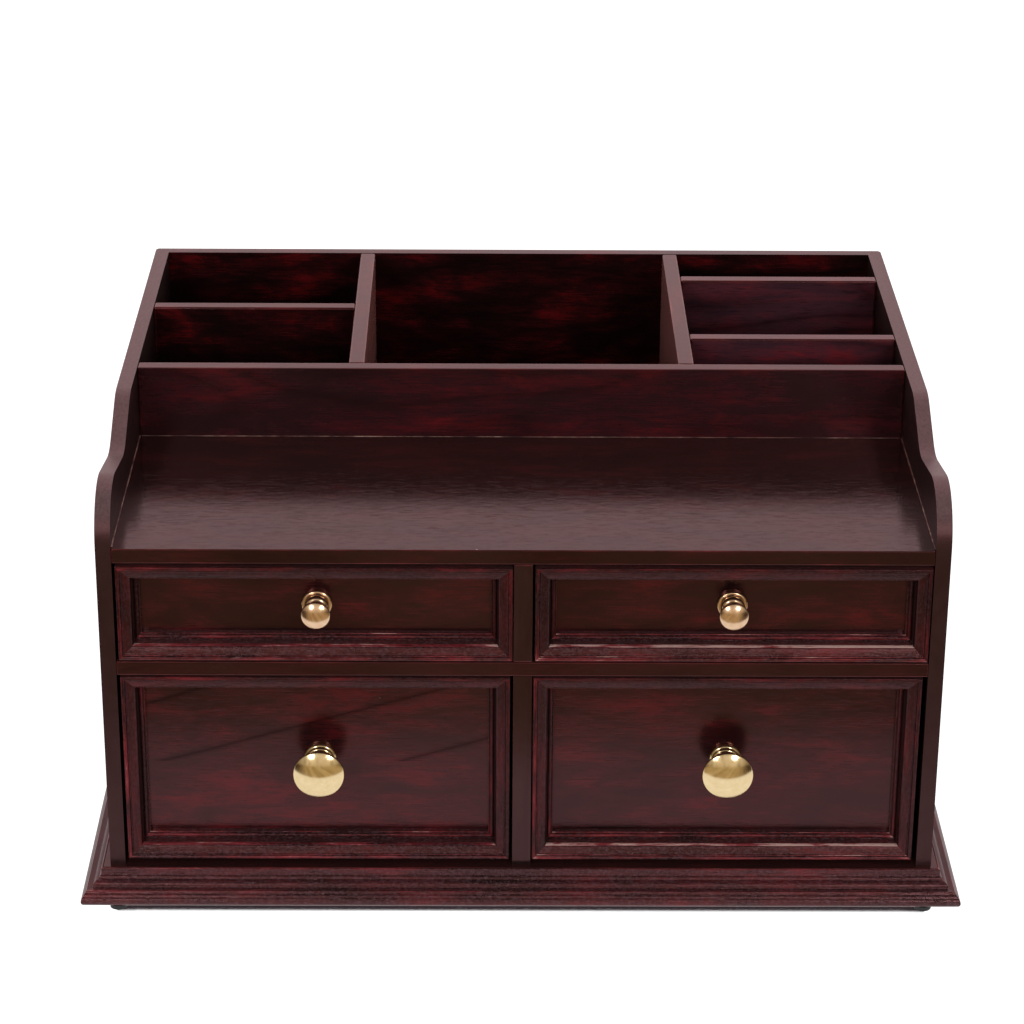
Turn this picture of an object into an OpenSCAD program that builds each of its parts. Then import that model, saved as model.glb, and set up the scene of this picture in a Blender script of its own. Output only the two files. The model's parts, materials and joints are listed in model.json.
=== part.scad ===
// Desktop mini drawers: a desk organiser in stained and lacquered hardwood.
// Two shallow drawers stand over two deep ones under a shelf. Behind the shelf
// a raised wall closes off open-topped compartments of four sizes.
// Frame: origin at the bottom centre, +X to the right, +Y to the back, +Z up.

/* [Carcass] */
// Width over the outer faces of the side panels
body_w = 380; // [340:1:440]
// Depth from the front edges of the panels to the outer face of the back
body_d = 304; // [270:1:350]
// Thickness of each side panel
side_t = 7; // [6:0.5:10]
// Thickness of the back panel
back_t = 7; // [5:0.5:10]
// Clear height of the bays of the deep drawers
lower_bay_h = 97.5; // [80:0.5:120]
// Thickness of the board between the deep and the shallow drawers
mid_t = 7; // [6:0.5:10]
// Clear height of the bays of the shallow drawers
upper_bay_h = 48.5; // [40:0.5:70]
// Thickness of the shelf board
shelf_t = 7; // [6:0.5:10]
// Depth of the shelf, from its front edge to the raised wall
shelf_d = 131; // [118:1:150]
// Height of the raised wall above the shelf
wall_rise = 35; // [30:1:60]
// Thickness of the raised wall
wall_t = 7.5; // [6:0.5:10]
// Thickness of the upright dividers between left and right drawers
centre_t = 8.4; // [6:0.2:12]

/* [Compartments] */
// Thickness of the two long partitions
partition_t = 7.6; // [5:0.2:10]
// Width of the middle compartment, between the faces of the partitions
middle_w = 150; // [110:1:180]
// Thickness of the short dividers
cross_t = 7.6; // [5:0.2:10]
// Front to back size of the narrow cells on the right
narrow_cell_d = 33.5; // [25:0.5:45]

/* [Side panel outline] */
// Radius of the rounded nose at the front of a side panel
nose_r = 25; // [18:1:28]
// Distance from the front to the lowest point of the hollow
hollow_y = 63; // [58:1:70]
// Height of that lowest point above the shelf
hollow_rise = 18.8; // [12:0.2:24]
// Distance from the front to where the top becomes straight
flat_y = 106; // [96:1:114]
// Radius of the curves that run in and out of the hollow
sweep_r = 24; // [12:1:28]
// Radius of the upright corners at the back, seen from above
back_corner_r = 3.5; // [2:0.5:6]
// Radius of the top edge along the back
back_edge_r = 1; // [0.5:0.5:3]

/* [Base] */
// Thickness of the base board
base_t = 8; // [6:0.5:12]
// How far the base board stands out from the panels
base_reveal = 3; // [2:0.5:6]
// Width of the base moulding, seen from above
base_moulding_w = 10; // [9:0.5:14]
// Height of the base moulding
base_moulding_h = 15.5; // [15:0.5:24]
// Diameter of a foot pad
pad_d = 8; // [5:0.5:9]
// Thickness of a foot pad
pad_h = 2; // [1:0.5:5]
// Distance from a pad's centre to the outer corner of the base
pad_inset = 17; // [12:1:30]

/* [Drawers] */
// Running gap under a drawer
run_gap = 0.3; // [0.2:0.1:0.6]
// Gap on each side of a shallow drawer front
upper_side_gap = 0.8; // [0.5:0.1:1.5]
// Gap over a shallow drawer front
upper_top_gap = 2; // [1:0.2:3]
// Gap on each side of a deep drawer front
lower_side_gap = 1.4; // [1.2:0.1:3]
// Gap over a deep drawer front
lower_top_gap = 0.9; // [0.6:0.1:2]
// Gap under a deep drawer front
lower_bottom_gap = 2.5; // [1:0.1:3.5]
// How far the right deep drawer sits over to the left
lower_right_shift = 0.8; // [0:0.1:0.8]
// How far both shallow drawers sit over to the right
upper_shift = 0.4; // [0:0.1:0.4]
// Gap left behind a closed drawer
behind_gap = 1; // [0.5:0.5:4]
// Thickness of the board of a drawer front
front_t = 7; // [6:0.5:10]
// Thickness of the sides and backs of the drawer boxes
box_t = 6.5; // [5:0.5:9]
// How far a box side stands back from the end of its front
box_inset = 0.6; // [0.3:0.1:1]
// How much lower the box is than its front
box_drop = 5; // [2:0.5:10]
// Thickness of a drawer bottom
bottom_t = 3; // [2:0.5:4]
// Height of the groove for the bottom above the lower edge of the sides
groove_up = 5; // [4:0.5:8]
// Depth of the grooves and of the housings for the back
groove_d = 3; // [2:0.5:3.5]
// Play of the bottom in its groove
groove_gap = 0.2; // [0.1:0.1:0.4]
// Depth of the rebates that hold the sides in the front
rebate_d = 3.5; // [2:0.5:4]
// Distance from the drawer back to the rear end of the sides
back_inset = 6; // [3:0.5:10]

/* [Drawer mouldings] */
// Width of the moulding round a drawer front
moulding_w = 10.2; // [10.2:0.2:16]
// Thickness of that moulding, which is how deep the field lies
moulding_t = 12; // [12:0.5:14]

/* [Knobs] */
// Diameter of the head of a small knob
small_head_d = 13.2; // [11:0.2:15]
// Distance from the field to the rim of that head
small_head_out = 12.7; // [12:0.1:13.5]
// Radius of the dome in front of that rim
small_dome_r = 9.5; // [8.5:0.1:12]
// Depth of the rounded back of that head
small_back_h = 5.5; // [4.5:0.1:6]
// Diameter of the foot of a small knob
small_foot_d = 14.4; // [14:0.2:20]
// Diameter of the bead on that foot
small_bead_d = 10.8; // [10.4:0.2:11]
// Thickness of that bead
small_bead_t = 3; // [2.4:0.1:3]
// Diameter of the neck of a small knob
small_neck_d = 6.6; // [6:0.2:7]
// Diameter of the head of a large knob
large_head_d = 23.4; // [18:0.2:28]
// Distance from the field to the rim of that head
large_head_out = 16.9; // [14:0.1:18]
// Radius of the dome in front of that rim
large_dome_r = 17; // [15.5:0.5:24]
// Depth of the rounded back of that head
large_back_h = 4.6; // [3:0.1:6]
// Diameter of the foot of a large knob
large_foot_d = 15.2; // [15.2:0.2:24]
// Diameter of the bead on that foot
large_bead_d = 13.6; // [12:0.2:13.8]
// Thickness of that bead
large_bead_t = 2.2; // [2.2:0.1:3]
// Diameter of the neck of a large knob
large_neck_d = 9; // [7:0.2:9]
// Thickness of the foot of a knob
foot_t = 2.4; // [1.9:0.1:3]
// How far the knob of a shallow drawer sits right of the middle of its front
upper_knob_shift = 0.4; // [0:0.1:2]
// How far the knob of a deep drawer sits right of the middle of its front
lower_knob_shift = 1; // [0:0.1:2]

/* [Screws] */
// Diameter of a knob screw
knob_screw_d = 4; // [3:0.5:4.5]
// Length of a knob screw inside the knob
knob_screw_grip = 8; // [6:0.5:9]
// Clearance round a knob screw in the drawer front
knob_screw_play = 0.2; // [0.1:0.1:0.5]
// Diameter of the screws through the base board
base_screw_d = 3; // [2.5:0.5:4]
// Length of a base screw inside the panel above
base_screw_grip = 14; // [10:1:20]
// Distance from the outermost base screws to the ends of a panel
base_screw_inset = 40; // [25:1:60]

/* [Hidden] */
// Smoothness of round surfaces
$fn = 64;
// Angle between the points of a curved outline
arc_step = 6;
// A little extra length, so that a cut runs clean through a face
eps = 1;

// Heights, with the underside of the pads at zero
base_top = pad_h + base_moulding_h;
mid_under = base_top + lower_bay_h;
mid_top = mid_under + mid_t;
shelf_under = mid_top + upper_bay_h;
shelf_top = shelf_under + shelf_t;
body_top = shelf_top + wall_rise;

// Places across and along the piece
half_w = body_w / 2;
inner_half_w = half_w - side_t;
base_out = base_reveal + base_moulding_w;
front_y = base_out - (body_d + base_out) / 2;
back_y = front_y + body_d;
back_inner_y = back_y - back_t;
wall_y = front_y + shelf_d;
wall_back_y = wall_y + wall_t;
cell_d = back_inner_y - wall_back_y;
partition_x = middle_w / 2 + partition_t / 2;
side_cell_w = inner_half_w - partition_x - partition_t / 2;
bay_w = inner_half_w - centre_t / 2;
bay_x = centre_t / 2 + bay_w / 2;

// Sizes shared by the drawers
field_front_y = front_y + moulding_t;
field_back_y = field_front_y + front_t;
pan_head_d = 2 * knob_screw_d;
pan_head_h = 0.55 * knob_screw_d;
countersunk_d = 2 * base_screw_d;

// One record per drawer: centre across, floor of its bay, width, height and
// lift of the front, rear end of the box, place of the knob across, and whether
// it is the small knob
upper_w = bay_w - 2 * upper_side_gap;
upper_h = upper_bay_h - run_gap - upper_top_gap;
upper_end_y = wall_y - behind_gap;
lower_w = bay_w - 2 * lower_side_gap;
lower_h = lower_bay_h - lower_bottom_gap - lower_top_gap;
lower_end_y = back_inner_y - behind_gap;
upper_left_x = -bay_x + upper_shift;
upper_right_x = bay_x + upper_shift;
lower_left_x = -bay_x;
lower_right_x = bay_x - lower_right_shift;
UPPER_LEFT = [upper_left_x, mid_top, upper_w, upper_h, run_gap, upper_end_y,
    upper_left_x + upper_knob_shift, true];
UPPER_RIGHT = [upper_right_x, mid_top, upper_w, upper_h, run_gap, upper_end_y,
    upper_right_x + upper_knob_shift, true];
LOWER_LEFT = [lower_left_x, base_top, lower_w, lower_h, lower_bottom_gap, lower_end_y,
    lower_left_x + lower_knob_shift, false];
LOWER_RIGHT = [lower_right_x, base_top, lower_w, lower_h, lower_bottom_gap, lower_end_y,
    lower_right_x + lower_knob_shift, false];
function centre_x(drawer) = drawer[0];
function bay_floor(drawer) = drawer[1];
function front_w(drawer) = drawer[2];
function front_h(drawer) = drawer[3];
function front_lift(drawer) = drawer[4];
function end_y(drawer) = drawer[5];
function knob_x(drawer) = drawer[6];
function has_small_knob(drawer) = drawer[7];

// Places that follow from the record
function front_z(drawer) = bay_floor(drawer) + front_lift(drawer);
function field_z(drawer) = front_z(drawer) + front_h(drawer) / 2;
function box_z(drawer) = bay_floor(drawer) + run_gap;
function box_top(drawer) = front_z(drawer) + front_h(drawer) - box_drop;
function box_w(drawer) = front_w(drawer) - 2 * box_inset;
function bottom_z(drawer) = box_z(drawer) + groove_up;
function back_face_y(drawer) = end_y(drawer) - back_inset;
function side_front_y() = field_back_y - rebate_d;

// Finishes
stain = [0.24, 0.07, 0.08];
inner_wood = [0.42, 0.22, 0.14];
brass = [0.86, 0.66, 0.30];
steel = [0.70, 0.70, 0.72];
pad_black = [0.05, 0.05, 0.05];

// ---------------------------------------------------------------- outlines

// Points of an arc round a centre, from one angle to another
function arc(centre, r, from, to) =
    let (steps = max(1, ceil(abs(to - from) / arc_step)))
    [for (i = [0:steps])
        let (a = from + (to - from) * i / steps)
        [centre[0] + r * cos(a), centre[1] + r * sin(a)]];

// Rising curve from a low point to a high point, level at both ends: a hollow,
// a straight stretch that is tangent to both, and a round
function rising_curve(low, high, wish_r) =
    let (run = high[0] - low[0],
         rise = high[1] - low[1],
         largest_r = (run * run + rise * rise) / (4 * rise),
         r = min(wish_r, 0.98 * largest_r),
         reach = 2 * r - rise,
         slope = atan2(run, reach) - acos(2 * r / sqrt(run * run + reach * reach)))
    concat(
        arc([low[0], low[1] + r], r, -90, -90 + slope),
        arc([high[0], high[1] - r], r, 90 + slope, 90));

// The same curve, falling from a high point to a low point behind it
function falling_curve(high, low, wish_r) =
    let (mirrored = rising_curve([-low[0], low[1]], [-high[0], high[1]], wish_r),
         count = len(mirrored))
    [for (i = [0:count - 1]) [-mirrored[count - 1 - i][0], mirrored[count - 1 - i][1]]];

// Outline of a side panel seen from the right: depth along X, height along Y,
// measured from the lower front corner
module side_outline() {
    shelf_level = shelf_top - base_top;
    top = body_top - base_top;
    hollow = [hollow_y, shelf_level + hollow_rise];
    polygon(concat(
        [[0, 0]],
        arc([nose_r, shelf_level], nose_r, 180, 90),
        falling_curve([nose_r, shelf_level + nose_r], hollow, sweep_r),
        rising_curve(hollow, [flat_y, top], sweep_r),
        arc([body_d - back_edge_r, top - back_edge_r], back_edge_r, 90, 0),
        [[body_d, 0]]));
}

// Section of the base moulding: outwards along X, downwards from zero along Y.
// From the top: a fillet, a step, a quarter round, a ledge, a small hollow and a
// rolled lower edge.
module base_moulding_section() {
    fillet_h = 3.4;
    step_out = 1.5;
    round_top = 5.1;
    round_r = 2.6;
    ledge_z = 8.2;
    hollow_r = 1.9;
    roll_top = 10.4;
    roll_r = 2.4;
    round_x = step_out + 0.5;
    ledge_x = base_moulding_w - 2.5;
    low = base_moulding_h;
    polygon(concat(
        [[0, -low], [0, 0], [0.7, 0], [0.9, -0.3], [0.9, -fillet_h]],
        [[step_out, -fillet_h - 0.3], [round_x, -fillet_h - 1], [round_x, -round_top]],
        arc([round_x, -round_top - round_r], round_r, 90, 0),
        [[round_x + round_r, -ledge_z], [ledge_x, -ledge_z]],
        arc([ledge_x + hollow_r, -ledge_z], hollow_r, 180, 250),
        arc([base_moulding_w - roll_r, -roll_top - roll_r], roll_r, 60, 0),
        arc([base_moulding_w - roll_r, -low + roll_r], roll_r, 0, -90)));
}

// Section of a drawer moulding: from the outer edge of the front inwards along
// X, and from the front plane backwards along Y. It runs from a flat band over
// a small bead, a bold round, a deep groove and a low swell to a fine lip, which
// stands clear of the field.
module drawer_moulding_section() {
    ease = 0.4;
    band_w = 2.1;
    quirk = 0.3;
    bead_t = 0.9;
    bead_r = 0.65;
    round_t = 2;
    round_r = 3.1;
    groove_w = 0.9;
    groove_t = 8.3;
    swell_t = 7.8;
    swell_r = 1.6;
    lip_w = 0.6;
    lip_h = 3;
    bead_x = band_w + quirk + bead_r;
    round_x = bead_x + bead_r;
    swell_x = round_x + round_r + groove_w;
    lip_x = moulding_w - lip_w;
    lip_t = moulding_t - lip_h;
    polygon(concat(
        [[0, moulding_t], [0, ease], [ease, 0], [band_w, 0], [band_w, bead_t]],
        arc([bead_x, bead_t], bead_r, 180, 360),
        arc([round_x, round_t + round_r], round_r, -90, 0),
        [[round_x + round_r, groove_t], [swell_x, groove_t]],
        arc([(swell_x + lip_x - quirk) / 2, swell_t + swell_r], swell_r, -120, -60),
        [[lip_x - quirk, lip_t + quirk], [lip_x, lip_t + quirk], [lip_x, lip_t]],
        [[moulding_w, lip_t], [moulding_w, moulding_t]]));
}

// ------------------------------------------------------------- base pieces

// Every base screw: place across, place along, as seen from above
function base_screw_places() = concat(
    [for (x = [-half_w + side_t / 2, half_w - side_t / 2],
          y = [front_y + base_screw_inset, front_y + body_d / 2, back_y - base_screw_inset])
        [x, y]],
    [for (y = [front_y + base_screw_inset, back_inner_y - base_screw_inset]) [0, y]],
    [for (x = [-half_w / 2, half_w / 2]) [x, back_y - back_t / 2]]);

// A countersunk screw with its head flush in the underside of the base board
module base_screw() {
    head_h = (countersunk_d - base_screw_d) / 2;
    cylinder(d1 = countersunk_d, d2 = base_screw_d, h = head_h);
    translate([0, 0, head_h])
        cylinder(d = base_screw_d, h = base_t - head_h + base_screw_grip);
}

module base_screws() {
    color(steel)
        for (place = base_screw_places())
            translate([place[0], place[1], base_top - base_t])
                base_screw();
}

// Holes that the base screws leave in the boards round them
module base_screw_holes() {
    for (place = base_screw_places())
        translate([place[0], place[1], base_top - base_t])
            base_screw();
}

module base_board() {
    color(stain)
        difference() {
            translate([-half_w - base_reveal, front_y - base_reveal, base_top - base_t])
                cube([body_w + 2 * base_reveal, body_d + base_reveal, base_t]);
            base_screw_holes();
        }
}

// The front strip, mitred at both ends
module base_moulding_front() {
    strip_l = body_w + 2 * base_out;
    long_half = half_w + base_out;
    short_half = half_w + base_reveal;
    color(stain)
        intersection() {
            translate([-strip_l / 2, front_y - base_reveal, base_top])
                rotate([90, 0, 90])
                    linear_extrude(strip_l)
                        mirror([1, 0])
                            base_moulding_section();
            linear_extrude(base_top + eps)
                polygon([
                    [-long_half, front_y - base_out], [long_half, front_y - base_out],
                    [short_half, front_y - base_reveal], [-short_half, front_y - base_reveal]]);
        }
}

// A side strip, mitred at the front and cut square at the back
module base_moulding_side() {
    strip_l = body_d + base_out;
    inner_x = half_w + base_reveal;
    outer_x = half_w + base_out;
    color(stain)
        intersection() {
            translate([inner_x, back_y, base_top])
                rotate([90, 0, 0])
                    linear_extrude(strip_l)
                        base_moulding_section();
            linear_extrude(base_top + eps)
                polygon([
                    [inner_x, front_y - base_reveal], [outer_x, front_y - base_out],
                    [outer_x, back_y], [inner_x, back_y]]);
        }
}

module base_moulding_right() base_moulding_side();

module base_moulding_left() mirror([1, 0, 0]) base_moulding_side();

// Round pads under the front strip and under the back ends of the side strips
module foot_pads() {
    strip_middle = base_reveal + base_moulding_w / 2;
    color(pad_black)
        for (side = [-1, 1]) {
            translate([side * (half_w + base_out - pad_inset), front_y - strip_middle, 0])
                cylinder(d = pad_d, h = pad_h);
            translate([side * (half_w + strip_middle), back_y - pad_inset, 0])
                cylinder(d = pad_d, h = pad_h);
        }
}

// ---------------------------------------------------------- carcass boards

// Outline of the right side panel seen from above, with its outer back corner
// rounded
module side_panel_plan() {
    polygon(concat(
        [[inner_half_w, front_y - eps], [half_w, front_y - eps]],
        arc([half_w - back_corner_r, back_y - back_corner_r], back_corner_r, 0, 90),
        [[inner_half_w, back_y]]));
}

// The right side panel: the common part of its outlines from the side and from
// above, less the holes of its screws
module right_side_panel() {
    color(stain)
        difference() {
            intersection() {
                translate([half_w - side_t, front_y, base_top])
                    rotate([90, 0, 90])
                        linear_extrude(side_t)
                            side_outline();
                translate([0, 0, base_top])
                    linear_extrude(body_top - base_top + eps)
                        side_panel_plan();
            }
            base_screw_holes();
        }
}

module left_side_panel() mirror([1, 0, 0]) right_side_panel();

// The back stands between the side panels
module back_panel() {
    back_h = body_top - base_top;
    color(stain)
        difference() {
            translate([-inner_half_w, back_inner_y, base_top])
                rotate([90, 0, 90])
                    linear_extrude(2 * inner_half_w)
                        polygon(concat(
                            [[0, 0], [0, back_h]],
                            arc([back_t - back_edge_r, back_h - back_edge_r], back_edge_r, 90, 0),
                            [[back_t, 0]]));
            base_screw_holes();
        }
}

// A level board between the side panels
module level_board(z, depth, thickness) {
    color(stain)
        translate([-inner_half_w, front_y, z])
            cube([2 * inner_half_w, depth, thickness]);
}

// The mid board is also the floor of the compartments
module mid_board() level_board(mid_under, body_d - back_t, mid_t);

module shelf_board() level_board(shelf_under, shelf_d, shelf_t);

module raised_wall() {
    color(stain)
        translate([-inner_half_w, wall_y, mid_top])
            cube([2 * inner_half_w, wall_t, body_top - mid_top]);
}

module lower_centre_divider() {
    color(stain)
        difference() {
            translate([-centre_t / 2, front_y, base_top])
                cube([centre_t, body_d - back_t, lower_bay_h]);
            base_screw_holes();
        }
}

module upper_centre_divider() {
    color(stain)
        translate([-centre_t / 2, front_y, mid_top])
            cube([centre_t, shelf_d, upper_bay_h]);
}

// ------------------------------------------------------------ compartments

// A long partition runs from the raised wall to the back
module partition(x) {
    color(stain)
        translate([x - partition_t / 2, wall_back_y, mid_top])
            cube([partition_t, cell_d, body_top - mid_top]);
}

module left_partition() partition(-partition_x);

module right_partition() partition(partition_x);

// A short divider between a long partition and a side panel, with its front
// face at a distance from the raised wall; side is -1 on the left, 1 on the right
module cross_divider(side, from_wall) {
    middle_x = side * (inner_half_w - side_cell_w / 2);
    color(stain)
        translate([middle_x - side_cell_w / 2, wall_back_y + from_wall, mid_top])
            cube([side_cell_w, cross_t, body_top - mid_top]);
}

module left_cross_divider() cross_divider(-1, (cell_d - cross_t) / 2);

module right_cross_divider_front() cross_divider(1, narrow_cell_d);

module right_cross_divider_back() cross_divider(1, cell_d - narrow_cell_d - cross_t);

// ----------------------------------------------------------------- drawers

// The board of a drawer front: rebated at both ends for the sides, grooved for
// the bottom and bored for the knob screw
module drawer_front(drawer) {
    w = front_w(drawer);
    rebate_w = box_inset + box_t;
    bore_d = knob_screw_d + 2 * knob_screw_play;
    color(stain)
        difference() {
            translate([centre_x(drawer) - w / 2, field_front_y, front_z(drawer)])
                cube([w, front_t, front_h(drawer)]);
            for (side = [-1, 1])
                translate([
                    centre_x(drawer) + side * (w / 2 - rebate_w / 2 + eps / 2),
                    side_front_y() + (rebate_d + eps) / 2,
                    field_z(drawer)])
                    cube([rebate_w + eps, rebate_d + eps, front_h(drawer) + 2 * eps],
                        center = true);
            translate([centre_x(drawer) - w / 2 - eps, field_back_y - groove_d, bottom_z(drawer)])
                cube([w + 2 * eps, groove_d + eps, bottom_t + groove_gap]);
            translate([knob_x(drawer), field_front_y - eps, field_z(drawer)])
                rotate([-90, 0, 0])
                    cylinder(d = bore_d, h = front_t + 2 * eps);
        }
}

// One strip of moulding, lying along X from the left mitre to the right one,
// with its outer edge on the X axis and its front on the plane Y = 0
module moulding_strip(strip_l) {
    intersection() {
        rotate([90, 0, 90])
            linear_extrude(strip_l)
                // turned so that the width runs along Z and the depth along Y
                mirror([1, -1])
                    drawer_moulding_section();
        translate([0, moulding_t + eps, 0])
            rotate([90, 0, 0])
                linear_extrude(moulding_t + 2 * eps)
                    polygon([
                        [0, 0], [strip_l, 0],
                        [strip_l - moulding_w, moulding_w], [moulding_w, moulding_w]]);
    }
}

// Two facing strips of the mitred frame round the field of a drawer front: the
// rails at the top and the bottom, or the stiles at the ends
module moulding_pair(drawer, strip_l, across, first_turn) {
    color(stain)
        translate([centre_x(drawer), front_y, field_z(drawer)])
            for (turn = [first_turn, first_turn + 180])
                rotate([0, turn, 0])
                    translate([-strip_l / 2, 0, -across / 2])
                        moulding_strip(strip_l);
}

module drawer_rails(drawer) moulding_pair(drawer, front_w(drawer), front_h(drawer), 0);

module drawer_stiles(drawer) moulding_pair(drawer, front_h(drawer), front_w(drawer), 90);

// A box side: seated in the rebate of the front, grooved for the bottom and
// housed for the back
module drawer_side(drawer, side) {
    length = end_y(drawer) - side_front_y();
    height = box_top(drawer) - box_z(drawer);
    outer_x = side * box_w(drawer) / 2;
    inner_x = side * (box_w(drawer) / 2 - box_t);
    cut_w = groove_d + eps;
    cut_x = inner_x + side * (groove_d - cut_w / 2);
    color(inner_wood)
        translate([centre_x(drawer), 0, 0])
            difference() {
                translate([min(outer_x, inner_x), side_front_y(), box_z(drawer)])
                    cube([box_t, length, height]);
                translate([cut_x - cut_w / 2, side_front_y() - eps, bottom_z(drawer)])
                    cube([cut_w, length + 2 * eps, bottom_t + groove_gap]);
                translate([cut_x - cut_w / 2, back_face_y(drawer) - box_t, bottom_z(drawer)])
                    cube([cut_w, box_t, height]);
            }
}

// The box back stands on the bottom, with its ends in the housings
module drawer_back(drawer) {
    w = box_w(drawer) - 2 * box_t + 2 * groove_d;
    z = bottom_z(drawer) + bottom_t;
    color(inner_wood)
        translate([centre_x(drawer) - w / 2, back_face_y(drawer) - box_t, z])
            cube([w, box_t, box_top(drawer) - z]);
}

// The bottom slides in the grooves from behind, up to the front
module drawer_bottom(drawer) {
    w = box_w(drawer) - 2 * box_t + 2 * (groove_d - groove_gap);
    first_y = field_back_y - groove_d + groove_gap;
    color(inner_wood)
        translate([centre_x(drawer) - w / 2, first_y, bottom_z(drawer)])
            cube([w, back_face_y(drawer) - first_y, bottom_t]);
}

// ------------------------------------------------------------------- knobs

// Outline of a turned knob, from its axis outwards, with the field at zero: a
// foot with a rounded edge, a bead and a fine ring on it, a neck, and a head with
// a rounded back, a tight rim and a shallow dome
module knob_outline(foot_d, bead_d, bead_t, neck_d, head_d, head_out, dome_r, back_h) {
    foot_ease = 0.3;
    foot_round = 1.4;
    bead_r = bead_t / 2;
    bead_x = bead_d / 2 - bead_r;
    bead_up = 1;
    bead_z = foot_t + bead_up;
    bead_start = -asin(0.95 * bead_up / bead_r);
    ring_r = 0.7;
    ring_x = bead_x - 0.4;
    ring_z = bead_z + bead_r + 0.5;
    rim_r = 0.8;
    neck_turn = acos(neck_d / head_d);
    rim_tilt = asin((head_d / 2 - rim_r) / (dome_r - rim_r));
    polygon(concat(
        [[0, 0], [foot_d / 2 - foot_ease, 0], [foot_d / 2, foot_ease]],
        arc([foot_d / 2 - foot_round, foot_t - foot_round], foot_round, 0, 90),
        arc([bead_x, bead_z], bead_r, bead_start, 90),
        arc([ring_x, ring_z], ring_r, -40, 80),
        [[neck_d / 2, ring_z + ring_r]],
        [for (step = [1:-0.2:0.2])
            [head_d / 2 * cos(neck_turn * step), head_out - back_h * sin(neck_turn * step)]],
        arc([head_d / 2 - rim_r, head_out], rim_r, 0, 84 - rim_tilt),
        arc([0, head_out - (dome_r - rim_r) * cos(rim_tilt)], dome_r, 90 - rim_tilt, 90)));
}

module small_knob_outline() {
    knob_outline(small_foot_d, small_bead_d, small_bead_t, small_neck_d, small_head_d,
        small_head_out, small_dome_r, small_back_h);
}

module large_knob_outline() {
    knob_outline(large_foot_d, large_bead_d, large_bead_t, large_neck_d, large_head_d,
        large_head_out, large_dome_r, large_back_h);
}

// A turned brass knob on the field, bored blind for its screw
module drawer_knob(drawer) {
    bore_h = knob_screw_grip + 0.5;
    color(brass)
        translate([knob_x(drawer), field_front_y, field_z(drawer)])
            rotate([90, 0, 0])
                difference() {
                    rotate_extrude()
                        if (has_small_knob(drawer)) small_knob_outline();
                        else large_knob_outline();
                    translate([0, 0, -eps])
                        cylinder(d = knob_screw_d, h = bore_h + eps);
                }
}

// A pan-head screw with a crossed slot, driven from inside the drawer through
// the front into the knob
module drawer_knob_screw(drawer) {
    head_r = pan_head_d / 2;
    dome_r = 1.08 * head_r;
    slot_w = 0.8;
    color(steel)
        translate([knob_x(drawer), field_back_y, field_z(drawer)])
            rotate([90, 0, 0]) {
                cylinder(d = knob_screw_d, h = front_t + knob_screw_grip);
                difference() {
                    translate([0, 0, -pan_head_h])
                        rotate_extrude()
                            intersection() {
                                square([head_r, pan_head_h]);
                                translate([0, dome_r])
                                    circle(r = dome_r);
                            }
                    for (turn = [0, 90])
                        rotate([0, 0, turn])
                            translate([0, 0, -pan_head_h])
                                cube([0.6 * pan_head_d, slot_w, 2 * slot_w], center = true);
                }
            }
}

// ---------------------------------------------------------------- assembly

base_board();
base_moulding_front();
base_moulding_left();
base_moulding_right();
foot_pads();
base_screws();
left_side_panel();
right_side_panel();
back_panel();
mid_board();
shelf_board();
raised_wall();
lower_centre_divider();
upper_centre_divider();
left_partition();
right_partition();
left_cross_divider();
right_cross_divider_front();
right_cross_divider_back();

drawer_front(UPPER_LEFT);  // upper_left_front
drawer_rails(UPPER_LEFT);  // upper_left_rails
drawer_stiles(UPPER_LEFT);  // upper_left_stiles
drawer_side(UPPER_LEFT, -1);  // upper_left_box_left
drawer_side(UPPER_LEFT, 1);  // upper_left_box_right
drawer_back(UPPER_LEFT);  // upper_left_box_back
drawer_bottom(UPPER_LEFT);  // upper_left_bottom
drawer_knob(UPPER_LEFT);  // upper_left_knob
drawer_knob_screw(UPPER_LEFT);  // upper_left_knob_screw

drawer_front(UPPER_RIGHT);  // upper_right_front
drawer_rails(UPPER_RIGHT);  // upper_right_rails
drawer_stiles(UPPER_RIGHT);  // upper_right_stiles
drawer_side(UPPER_RIGHT, -1);  // upper_right_box_left
drawer_side(UPPER_RIGHT, 1);  // upper_right_box_right
drawer_back(UPPER_RIGHT);  // upper_right_box_back
drawer_bottom(UPPER_RIGHT);  // upper_right_bottom
drawer_knob(UPPER_RIGHT);  // upper_right_knob
drawer_knob_screw(UPPER_RIGHT);  // upper_right_knob_screw

drawer_front(LOWER_LEFT);  // lower_left_front
drawer_rails(LOWER_LEFT);  // lower_left_rails
drawer_stiles(LOWER_LEFT);  // lower_left_stiles
drawer_side(LOWER_LEFT, -1);  // lower_left_box_left
drawer_side(LOWER_LEFT, 1);  // lower_left_box_right
drawer_back(LOWER_LEFT);  // lower_left_box_back
drawer_bottom(LOWER_LEFT);  // lower_left_bottom
drawer_knob(LOWER_LEFT);  // lower_left_knob
drawer_knob_screw(LOWER_LEFT);  // lower_left_knob_screw

drawer_front(LOWER_RIGHT);  // lower_right_front
drawer_rails(LOWER_RIGHT);  // lower_right_rails
drawer_stiles(LOWER_RIGHT);  // lower_right_stiles
drawer_side(LOWER_RIGHT, -1);  // lower_right_box_left
drawer_side(LOWER_RIGHT, 1);  // lower_right_box_right
drawer_back(LOWER_RIGHT);  // lower_right_box_back
drawer_bottom(LOWER_RIGHT);  // lower_right_bottom
drawer_knob(LOWER_RIGHT);  // lower_right_knob
drawer_knob_screw(LOWER_RIGHT);  // lower_right_knob_screw
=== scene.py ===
import json
import math

import bmesh
import bpy
from mathutils import Matrix, Vector, noise

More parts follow.
